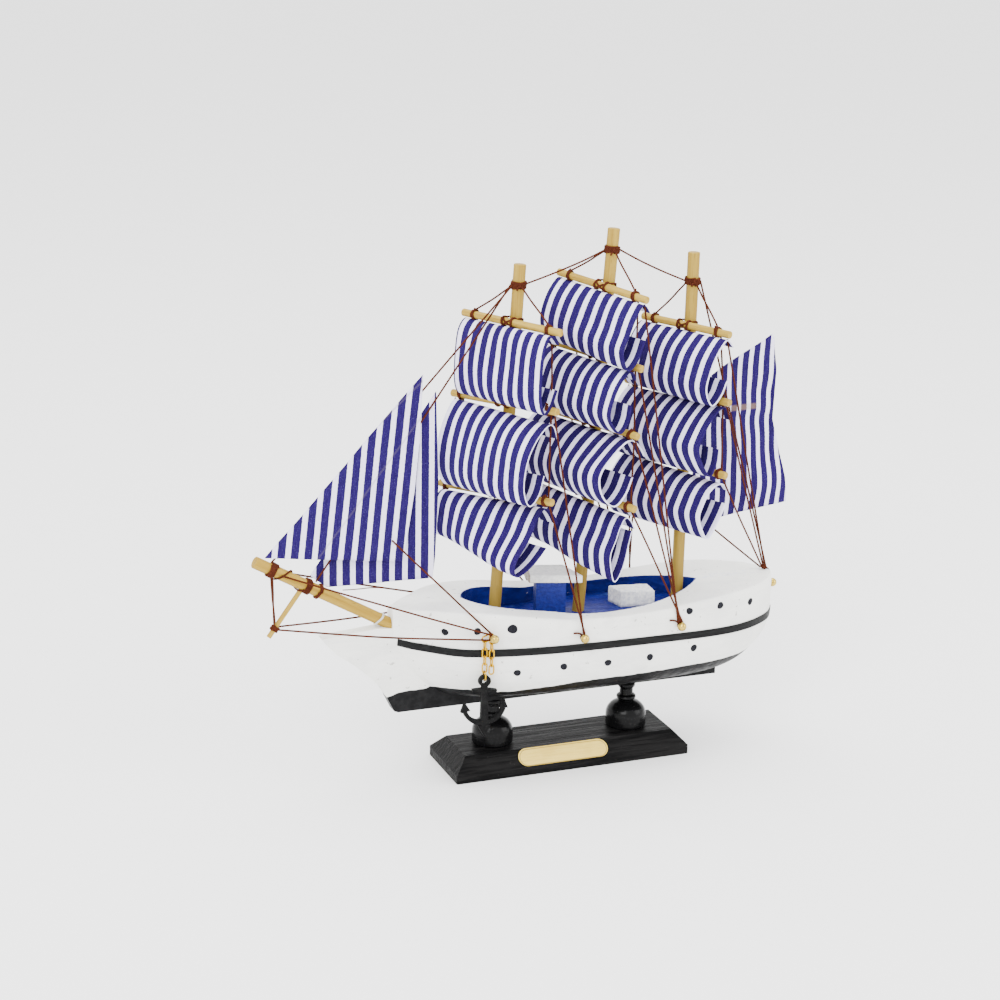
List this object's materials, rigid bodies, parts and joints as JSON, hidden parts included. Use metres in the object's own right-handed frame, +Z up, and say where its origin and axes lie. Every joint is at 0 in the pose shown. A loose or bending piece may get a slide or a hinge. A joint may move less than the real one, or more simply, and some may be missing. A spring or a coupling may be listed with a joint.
{
  "type": "model sailing ship",
  "caption": "Small wooden display model of a three-masted square-rigged sailing ship with striped cloth sails, thread rigging and a hanging anchor, on a bevelled wooden stand with turned posts.",
  "frame": {"origin": "centre of the underside of the stand's base", "axes": "+X towards the stern, +Y to starboard, +Z up; the bow and bowsprit point to -X"},
  "size_m": [0.1653, 0.0446, 0.1561],
  "materials": {
    "black_wood": "satin black lacquer over wood grain",
    "black_gloss": "gloss black lacquer on turned wood",
    "plate_brass": "brushed, blank",
    "screw_steel": "zinc plated",
    "hull_white": "matt white paint on wood, black below the waterline, dark blue well",
    "keel_paint": "matt black paint, white above the waterline",
    "stripe_black": "matt tape",
    "well_blue": "satin blue paint",
    "white_wood": "white paint, rough sawn",
    "dowel_wood": "bare dowel",
    "striped_cloth": "woven cotton, white and blue stripes",
    "thread_brown": "twisted cotton thread",
    "pin_brass": "polished",
    "chain_gold": "bright gilt",
    "anchor_black": "matt black paint"
  },
  "bodies": {
    "ship": {"bow_lines": "thread_brown", "bowsprit": "dowel_wood", "bowsprit_lashings": "thread_brown", "cabin_roof": "white_wood", "chain_top_link": "chain_gold", "deck_box": "white_wood", "deck_cabin": "well_blue", "dolphin_striker": "dowel_wood", "hull": "hull_white", "keel_board": "keel_paint", "lifts": "thread_brown", "mast_fore": "dowel_wood", "mast_lashings": "thread_brown", "mast_main": "dowel_wood", "mast_mizzen": "dowel_wood", "name_plate": "plate_brass", "port_lines": "thread_brown", "portholes": "stripe_black", "post_aft": "black_gloss", "post_fore": "black_gloss", "rigging_pins": "pin_brass", "sail_fore_1": "striped_cloth", "sail_fore_2": "striped_cloth", "sail_fore_3": "striped_cloth", "sail_inner_jib": "striped_cloth", "sail_main_1": "striped_cloth", "sail_main_2": "striped_cloth", "sail_main_3": "striped_cloth", "sail_main_4": "striped_cloth", "sail_mizzen_1": "striped_cloth", "sail_mizzen_2": "striped_cloth", "sail_mizzen_3": "striped_cloth", "sail_outer_jib": "striped_cloth", "sail_spanker": "striped_cloth", "spanker_gaff": "dowel_wood", "stand_base": "black_wood", "stand_screws": "screw_steel", "starboard_lines": "thread_brown", "stays": "thread_brown", "stern_lines": "thread_brown", "wale_stripe": "stripe_black", "yard_cross_lashings": "thread_brown", "yard_end_lashings": "thread_brown", "yard_fore_1": "dowel_wood", "yard_fore_2": "dowel_wood", "yard_fore_3": "dowel_wood", "yard_main_1": "dowel_wood", "yard_main_2": "dowel_wood", "yard_main_3": "dowel_wood", "yard_main_4": "dowel_wood", "yard_mizzen_1": "dowel_wood", "yard_mizzen_2": "dowel_wood", "yard_mizzen_3": "dowel_wood"},
    "strand": {"anchor_chain": "chain_gold"},
    "tail": {"chain_tail": "chain_gold"},
    "anchor_body": {"anchor": "anchor_black"}
  },
  "joints": [
    {"name": "strand_swing", "type": "hinge", "parent": "ship", "child": "strand", "pos_m": [-0.03048, -0.01738, 0.04484], "axis": [0, 1, 0], "range_deg": [-2, 15]},
    {"name": "tail_swing", "type": "hinge", "parent": "ship", "child": "tail", "pos_m": [-0.0286, -0.0179, 0.0459], "axis": [0, 1, 0], "range_deg": [-12, 2]},
    {"name": "anchor_swing", "type": "hinge", "parent": "strand", "child": "anchor_body", "pos_m": [-0.03048, -0.01738, 0.03289], "axis": [0, 1, 0], "range_deg": [-20, 20]}
  ]
}
